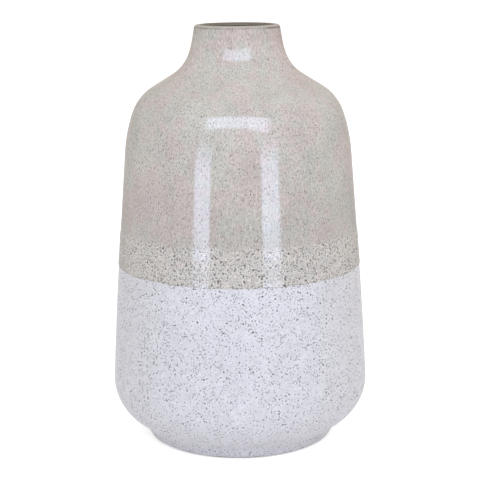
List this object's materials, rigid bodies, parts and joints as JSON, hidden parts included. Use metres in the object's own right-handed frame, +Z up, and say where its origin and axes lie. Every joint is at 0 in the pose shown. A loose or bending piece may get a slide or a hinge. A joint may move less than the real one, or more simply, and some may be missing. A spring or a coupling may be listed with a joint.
{
  "type": "bottle vase",
  "caption": "Free-standing stoneware bottle vase with a tapered foot, rounded belly, round shoulder and short neck, dipped in speckled glazes that overlap in a band; holds cut or dried stems.",
  "frame": {"origin": "centre of the foot on the surface that the vase stands on", "axes": "+Z up along the vase's axis of rotation, +X to the right as seen in the picture, +Y away from the viewer"},
  "size_m": [0.1902, 0.1902, 0.305],
  "materials": {
    "stoneware": "fired, unglazed, matt",
    "white_glaze": "satin white glaze with dark specks",
    "overlap_glaze": "gloss greige glaze over white, densely specked",
    "greige_glaze": "gloss greige glaze, mottled and specked",
    "liner_glaze": "gloss greige liner glaze"
  },
  "bodies": {
    "root": {"stoneware_body": "stoneware", "white_glaze": "white_glaze", "overlap_glaze": "overlap_glaze", "greige_glaze": "greige_glaze", "liner_glaze": "liner_glaze", "base_glaze": "white_glaze"}
  },
  "joints": []
}
